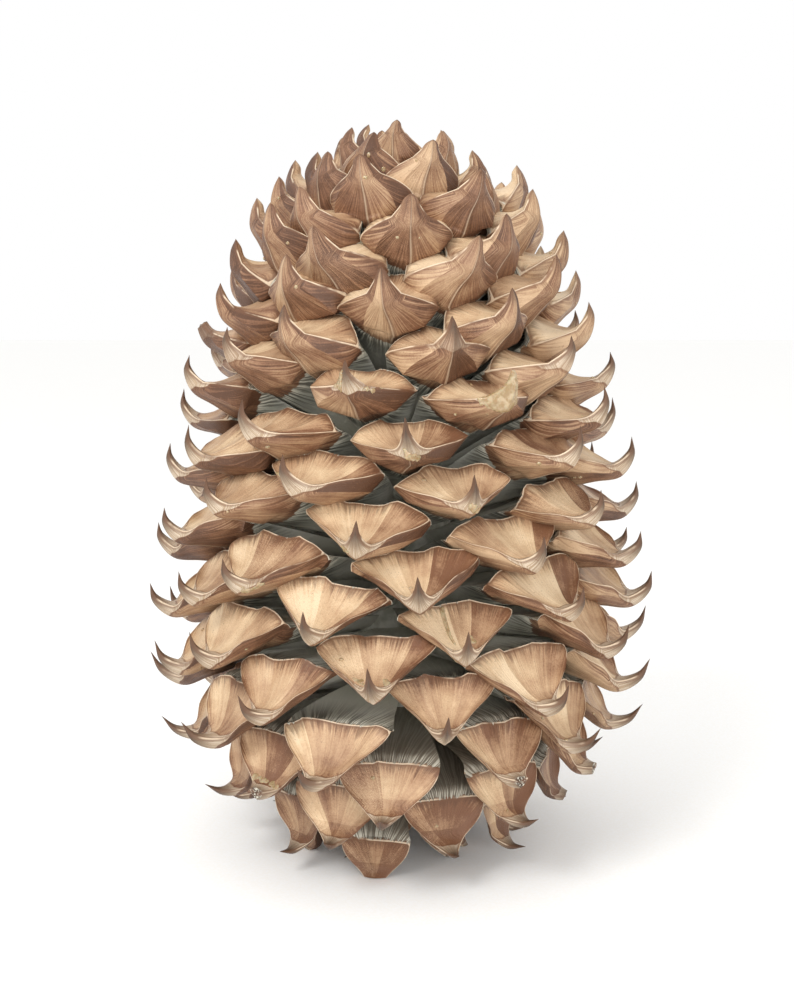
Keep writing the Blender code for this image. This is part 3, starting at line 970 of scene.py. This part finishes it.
class ConeColours(bpy.types.PropertyGroup):
    """The cone's colours, as sRGB hex values."""

    # The face's browns, picked by a value that holds painted light and shade besides the grain and the tone.
    face_pale: colour_property("Face, pale", "The most bleached parts of a face", "#E6CDAA")
    face_light: colour_property("Face, light", "Lit fields of a scale's face", "#D5B893")
    face_mid: colour_property("Face, middle", "The face's own tan", "#BE9C7A")
    face_dark: colour_property("Face, dark", "Darker streaks of the face", "#A37F60")
    face_deep: colour_property("Face, deep", "The darkest streaks and pits", "#775139")
    # The underside's browns are redder than the face's, and darker as painted shade, for it hangs away from
    # the light.
    under_light: colour_property("Underside, light", "Bleached streaks under the keel", "#C6A785")
    under_mid: colour_property("Underside, middle", "The underside's own brown", "#A88768")
    under_dark: colour_property("Underside, dark", "Darker streaks under the keel", "#805B43")
    under_deep: colour_property("Underside, deep", "The darkest streaks under the keel", "#573A28")
    # Painted highlight: the cream line along the crest and the keel, and on the underside's ridge.
    rim: colour_property("Rim", "Bleached edges of the crest and keel", "#EBD6B9")
    # Painted shade: the dark line just inside the edge highlight. The same brown outlines the claw's plate.
    line: colour_property("Line", "The thin line inside the rim", "#6E4A33")
    claw_pale: colour_property("Claw, pale", "The bleached plate at the claw's foot", "#D6C6B0")
    claw_shade: colour_property("Claw, shade", "Streaks on the plate", "#B0987C")
    claw_grey: colour_property("Claw, grey", "The claw's weathered shaft", "#75634F")
    claw_tip: colour_property("Claw, tip", "The claw's horny tip", "#4F3D30")
    shank_light: colour_property("Shank, light", "Grey-green of the shanks", "#ABAA9B")
    shank_dark: colour_property("Shank, dark", "Streaks on the shanks", "#66645A")
    shank_brown: colour_property("Shank, brown", "The brown of the lowest shanks", "#665A4C")
    # Painted light: the shanks near the axis and the axis itself are this pale to lift the shade in the
    # hollows.
    painted_hollow_light: colour_property("Deep", "Where seed coats have left the shanks pale", "#DAD8CD")
    fringe: colour_property("Fringe", "Pale fibres where the face ends", "#DAD5C4")
    resin_light: colour_property("Resin, light", "Milky resin", "#E2CDA6")
    resin_dark: colour_property("Resin, dark", "Amber in the resin", "#C0A276")
    paper: colour_property("Paper", "The stage", "#FEFEFD")
    paper_warm: colour_property("Paper, warm", "The stage's warmer patches", "#FCFBF8")


class ConeResin(bpy.types.PropertyGroup):
    """How much resin has dried on the cone."""

    beads: bpy.props.IntProperty(
        name="Beads", description="Small beads scattered over the scales", default=150, min=0, max=600
    )
    bead_size: bpy.props.FloatProperty(
        name="Bead size", description="A large bead's radius", default=0.0011, unit="LENGTH"
    )


class ConeLight(bpy.types.PropertyGroup):
    """The studio's light."""

    key: bpy.props.FloatProperty(name="Key", description="The key light's power", default=7.0)
    fill: bpy.props.FloatProperty(name="Fill", description="The fill light's power", default=3.0)
    sky: bpy.props.FloatProperty(name="Room", description="Brightness of the white room", default=1.0)


def axis():
    """The axis, turned from its profile and roughened."""
    shape = bmesh.new()
    line = [(AXIS_PROFILE[0][0], 0.0), *AXIS_PROFILE, (AXIS_TIP, 0.0)]
    verts = [shape.verts.new(((AXIS_X + r) * MM, AXIS_Y * MM, z * MM)) for z, r in line]
    edges = [shape.edges.new(pair) for pair in zip(verts, verts[1:])]
    bmesh.ops.subdivide_edges(shape, edges=edges[1:-1], cuts=AXIS_CUTS)
    bmesh.ops.spin(
        shape,
        geom=[*shape.verts, *shape.edges],
        cent=(AXIS_X * MM, AXIS_Y * MM, 0.0),
        axis=(0.0, 0.0, 1.0),
        angle=math.tau,
        steps=AXIS_STEPS,
        use_merge=True,
    )
    bmesh.ops.remove_doubles(shape, verts=shape.verts, dist=AXIS_MERGE * MM)
    for vert in shape.verts:
        away = Vector((vert.co.x - AXIS_X * MM, vert.co.y - AXIS_Y * MM, 0.0))
        angle = math.atan2(away.y, away.x)
        swell = sum(size * math.sin(count * angle + climb * vert.co.z) for count, climb, size in AXIS_SWELLS)
        if away.length > MM:
            vert.co -= away.normalized() * (AXIS_SUNK + swell) * MM
    bmesh.ops.recalc_face_normals(shape, faces=shape.faces)
    mesh = as_mesh(shape, "axis")
    mesh.shade_smooth()
    return in_scene("axis", mesh)


# How far apart the points are that give the skin's direction, in knots and in columns.
SKIN_STEP = 0.01


def bead_spot(scale, t, c):
    """A point of a scale's skin and the way out of it there, in metres."""
    spots, _ = scale.points(np.array((t, t + SKIN_STEP, t)), np.array((c, c, c + SKIN_STEP)))
    spot, along, round_it = (Vector(row) for row in spots)
    out = (along - spot).cross(round_it - spot)
    middle, _ = scale.points(np.array((t, t)), np.array((0.25, 0.75)))
    inside = (Vector(middle[0]) + Vector(middle[1])) / 2
    if out.dot(spot - inside) < 0:
        out.negate()
    return spot * MM, out.normalized()


def add_bead(shape, spot, out, size, flatness, draw):
    """One bead: a ball pressed onto the skin."""
    ball = bmesh.ops.create_icosphere(shape, subdivisions=2, radius=size)["verts"]
    turn = out.to_track_quat("Z", "Y").to_matrix().to_4x4()
    stretch = Matrix.Diagonal((draw.uniform(*BEAD_STRETCH), draw.uniform(*BEAD_STRETCH), flatness, 1.0))
    bmesh.ops.transform(shape, matrix=Matrix.Translation(spot) @ turn @ stretch, verts=ball)


# The separate beads: the scales, the knots and the columns that they are drawn from, and the ranges of their
# sizes, as shares of a large one's, of how flat they are, and of how far they are drawn out.
BEAD_SCALES = (20, SCALE_COUNT - 8)
BEAD_KNOTS = (2.2, 4.3)
BEAD_COLUMNS = (0.12, 0.2, 0.62, 0.7, 0.82, 0.9)
BEAD_SIZES, BEAD_FLAT, BEAD_STRETCH = (0.35, 0.8), (0.5, 0.8), (0.8, 1.3)

# Crusts of resin that the picture shows: scale, the knot and column where each starts and ends, how many
# drops have run together in it, and their radius in millimetres.
CRUSTS = (
    (36, 3.9, 0.08, 4.1, 0.42, 20, 1.2),
    (61, 3.5, 0.13, 3.9, 0.17, 10, 1.0),
    (61, 3.5, 0.33, 3.9, 0.37, 10, 1.0),
    (68, 3.3, 0.30, 3.8, 0.28, 10, 1.0),
    (83, 3.7, 0.60, 4.2, 0.66, 12, 1.1),
    (90, 3.9, 0.92, 4.3, 0.86, 10, 1.1),
    (97, 4.1, 0.64, 4.5, 0.80, 16, 1.4),
    (101, 3.1, 0.03, 4.5, 0.14, 34, 1.4),
    (108, 4.1, 0.66, 4.5, 0.84, 14, 1.4),
    (115, 3.7, 0.94, 3.9, 0.88, 5, 1.0),
    (119, 4.0, 0.96, 5.3, 0.90, 20, 1.1),
    (119, 3.6, 0.53, 4.1, 0.56, 5, 0.9),
    (126, 3.9, 0.30, 4.6, 0.20, 16, 1.4),
    (137, 3.6, 0.20, 4.1, 0.14, 10, 1.1),
    (155, 3.8, 0.25, 4.2, 0.20, 5, 0.8),
)

# How far the drops of a crust stray, as a share of their spacing, in knots and in columns, and the ranges of
# their sizes and of how flat they are. They run together on voxels of this size, in metres, and are smoothed
# this strongly in so many passes.
STRAY_ALONG, STRAY_KNOTS, STRAY_COLUMNS = 0.4, 0.10, 0.025
DROP_SIZES, DROP_FLAT = (0.6, 1.2), (0.16, 0.30)
CRUST_STEP = 0.00030
CRUST_SMOOTH, CRUST_PASSES = 0.5, 6

# Glassy skins of resin that have run over a scale: scale, the knots where each starts and ends, the columns
# that it spans, how far it stands off the scale in millimetres, and how many runs it shows side by side.
SHEATHS = (
    (115, 3.72, 5.97, 0.00, 1.00, 0.9, 9),
    (101, 3.10, 4.70, 0.00, 0.16, 0.8, 4),
    (119, 4.05, 5.20, 0.84, 0.98, 0.7, 3),
    (68, 2.04, 3.55, 0.188, 0.204, 1.0, 1),
)

# A sheath is cut this many times each way, and is at full thickness after this share of its length. Its runs
# are a wave of this share of that thickness, which drifts sideways by so many radians along it.
SHEATH_CUTS = 20
SHEATH_FADE = 1 / 14
SHEATH_WAVE, SHEATH_DRIFT = 0.35, 4


def add_sheath(shape, index, t, t_end, c, c_end, depth, runs):
    """One glassy skin: a flat box laid on the scale, half above its skin and half below, with thin ends."""
    scale = Scale(index)
    sheet = bmesh.new()
    bmesh.ops.create_cube(sheet, size=2.0)
    level = [edge for edge in sheet.edges if abs(edge.verts[0].co.z - edge.verts[1].co.z) < 1.0]
    bmesh.ops.subdivide_edges(sheet, edges=level, cuts=SHEATH_CUTS, use_grid_fill=True)
    for vert in sheet.verts:
        far, round_it, side = (vert.co.x + 1) / 2, (vert.co.y + 1) / 2, vert.co.z
        spot, out = bead_spot(scale, t + (t_end - t) * far, c + (c_end - c) * round_it)
        fade = min(1.0, far / SHEATH_FADE, (1 - far) / SHEATH_FADE)
        run = 1 - SHEATH_WAVE + SHEATH_WAVE * math.sin(math.tau * runs * round_it + SHEATH_DRIFT * far)
        vert.co = spot + out * side * depth * fade * run * MM
    mesh = as_mesh(sheet, "sheath")
    shape.from_mesh(mesh)
    bpy.data.meshes.remove(mesh)


def resin_beads(settings):
    """Separate beads, scattered by a seeded draw."""
    draw = random.Random(SEED + 9001)
    shape = bmesh.new()
    for _ in range(settings.beads):
        scale = Scale(draw.randrange(*BEAD_SCALES))
        spot, out = bead_spot(scale, draw.uniform(*BEAD_KNOTS), draw.choice(BEAD_COLUMNS))
        size = settings.bead_size * draw.uniform(*BEAD_SIZES)
        add_bead(shape, spot, out, size, draw.uniform(*BEAD_FLAT), draw)
    mesh = as_mesh(shape, "resin_beads")
    mesh.shade_smooth()
    return in_scene("resin_beads", mesh)


def resin_crusts():
    """Crusts, each of many drops that have run together into one skin."""
    draw = random.Random(SEED + 9002)
    shape = bmesh.new()
    for index, t, c, t_end, c_end, count, size in CRUSTS:
        scale = Scale(index)
        for i in range(count):
            share = (i + draw.uniform(-STRAY_ALONG, STRAY_ALONG)) / count
            here = t + (t_end - t) * share + draw.uniform(-STRAY_KNOTS, STRAY_KNOTS)
            round_it = c + (c_end - c) * share + draw.uniform(-STRAY_COLUMNS, STRAY_COLUMNS)
            spot, out = bead_spot(scale, here, round_it)
            radius = size * draw.uniform(*DROP_SIZES) * MM
            add_bead(shape, spot, out, radius, draw.uniform(*DROP_FLAT), draw)
    for sheath in SHEATHS:
        add_sheath(shape, *sheath)
    piece = in_scene("resin_crusts", as_mesh(shape, "resin_crusts"))
    run = piece.modifiers.new("run_together", "REMESH")
    run.mode = "VOXEL"
    run.voxel_size = CRUST_STEP
    run.use_smooth_shade = True
    settle = piece.modifiers.new("settle", "SMOOTH")
    settle.factor = CRUST_SMOOTH
    settle.iterations = CRUST_PASSES
    return piece


class CONE_OT_axis(bpy.types.Operator):
    """Turn the cone's woody axis"""

    bl_idname = "cone.axis"
    bl_label = "Axis"

    def execute(self, context):
        dressed(axis(), axis_wood(context.scene.cone_colours))
        return {"FINISHED"}


class CONE_OT_scales(bpy.types.Operator):
    """Grow the scales, in tiers from the base to the tip"""

    bl_idname = "cone.scales"
    bl_label = "Scales"

    def execute(self, context):
        material = weathered_scale_wood(context.scene.cone_colours)
        for name, first, last in TIERS:
            dressed(tier_object(name, first, last), material)
        return {"FINISHED"}


class CONE_OT_resin(bpy.types.Operator):
    """Dry the resin on the scales"""

    bl_idname = "cone.resin"
    bl_label = "Resin"

    def execute(self, context):
        material = dried_resin(context.scene.cone_colours)
        for piece in (resin_beads(context.scene.cone_resin), resin_crusts()):
            dressed(piece, material)
        return {"FINISHED"}


def area_light(name, place, power):
    """A round studio light that faces the middle of the cone."""
    lamp = bpy.data.lights.new(name, "AREA")
    lamp.shape = "DISK"
    lamp.size = LIGHT_SIZE
    lamp.energy = power
    light = in_scene(name, lamp)
    light.location = place
    aim = Vector((0.0, 0.0, VIEW_HEIGHT)) - Vector(place)
    light.rotation_euler = aim.to_track_quat("-Z", "Y").to_euler()


class CONE_OT_stage(bpy.types.Operator):
    """Set the floor, the lights and the camera"""

    bl_idname = "cone.stage"
    bl_label = "Stage"

    def execute(self, context):
        scene = context.scene
        shape = bmesh.new()
        bmesh.ops.create_grid(shape, x_segments=2, y_segments=2, size=FLOOR_HALF)
        bmesh.ops.translate(shape, verts=shape.verts, vec=(0.0, 0.0, -FLOOR_DROP))
        floor = in_scene("floor", as_mesh(shape, "floor"))
        floor.data.materials.append(paper(scene.cone_colours))

        world = bpy.data.worlds.new("white_room")
        world.use_nodes = True
        background = world.node_tree.nodes["Background"]
        background.inputs["Color"].default_value = (1.0, 1.0, 1.0, 1.0)
        background.inputs["Strength"].default_value = scene.cone_light.sky
        scene.world = world
        for name, place in LIGHT_PLACES:
            area_light(name, place, getattr(scene.cone_light, name))

        camera = bpy.data.cameras.new("viewer")
        camera.sensor_fit = "AUTO"
        camera.sensor_width = SENSOR
        camera.lens = SENSOR * FOCAL_PIXELS / FRAME_HEIGHT
        camera.shift_x = (FRAME_WIDTH / 2 - CENTRE_X) / FRAME_HEIGHT
        camera.shift_y = (CENTRE_Y - FRAME_HEIGHT / 2) / FRAME_HEIGHT
        viewer = in_scene("viewer", camera)
        target = Vector((AXIS_X * MM, AXIS_Y * MM, VIEW_HEIGHT))
        back = Vector((0.0, -math.cos(VIEW_ELEVATION), math.sin(VIEW_ELEVATION)))
        viewer.location = target + back * VIEW_DISTANCE
        viewer.rotation_euler = (-back).to_track_quat("-Z", "Y").to_euler()
        scene.camera = viewer
        scene.view_settings.view_transform = "Standard"
        return {"FINISHED"}


class CONE_PT_panel(bpy.types.Panel):
    """The cone's operators and settings"""

    bl_label = "Pine cone"
    bl_idname = "CONE_PT_panel"
    bl_space_type = "VIEW_3D"
    bl_region_type = "UI"
    bl_category = "Cone"

    def draw(self, context):
        layout = self.layout
        for operator in OPERATORS:
            layout.operator(operator.bl_idname)
        for group in (context.scene.cone_colours, context.scene.cone_resin, context.scene.cone_light):
            box = layout.box()
            for key in group.__annotations__:
                box.prop(group, key)


OPERATORS = (CONE_OT_axis, CONE_OT_scales, CONE_OT_resin, CONE_OT_stage)
GROUPS = (("cone_colours", ConeColours), ("cone_resin", ConeResin), ("cone_light", ConeLight))


def register():
    for name, group in GROUPS:
        bpy.utils.register_class(group)
        setattr(bpy.types.Scene, name, bpy.props.PointerProperty(type=group))
    for item in (*OPERATORS, CONE_PT_panel):
        bpy.utils.register_class(item)


def unregister():
    for item in reversed((*OPERATORS, CONE_PT_panel)):
        bpy.utils.unregister_class(item)
    for name, group in reversed(GROUPS):
        delattr(bpy.types.Scene, name)
        bpy.utils.unregister_class(group)


def main():
    register()
    bpy.ops.cone.axis()
    bpy.ops.cone.scales()
    bpy.ops.cone.resin()
    bpy.ops.cone.stage()


if __name__ == "__main__":
    main()
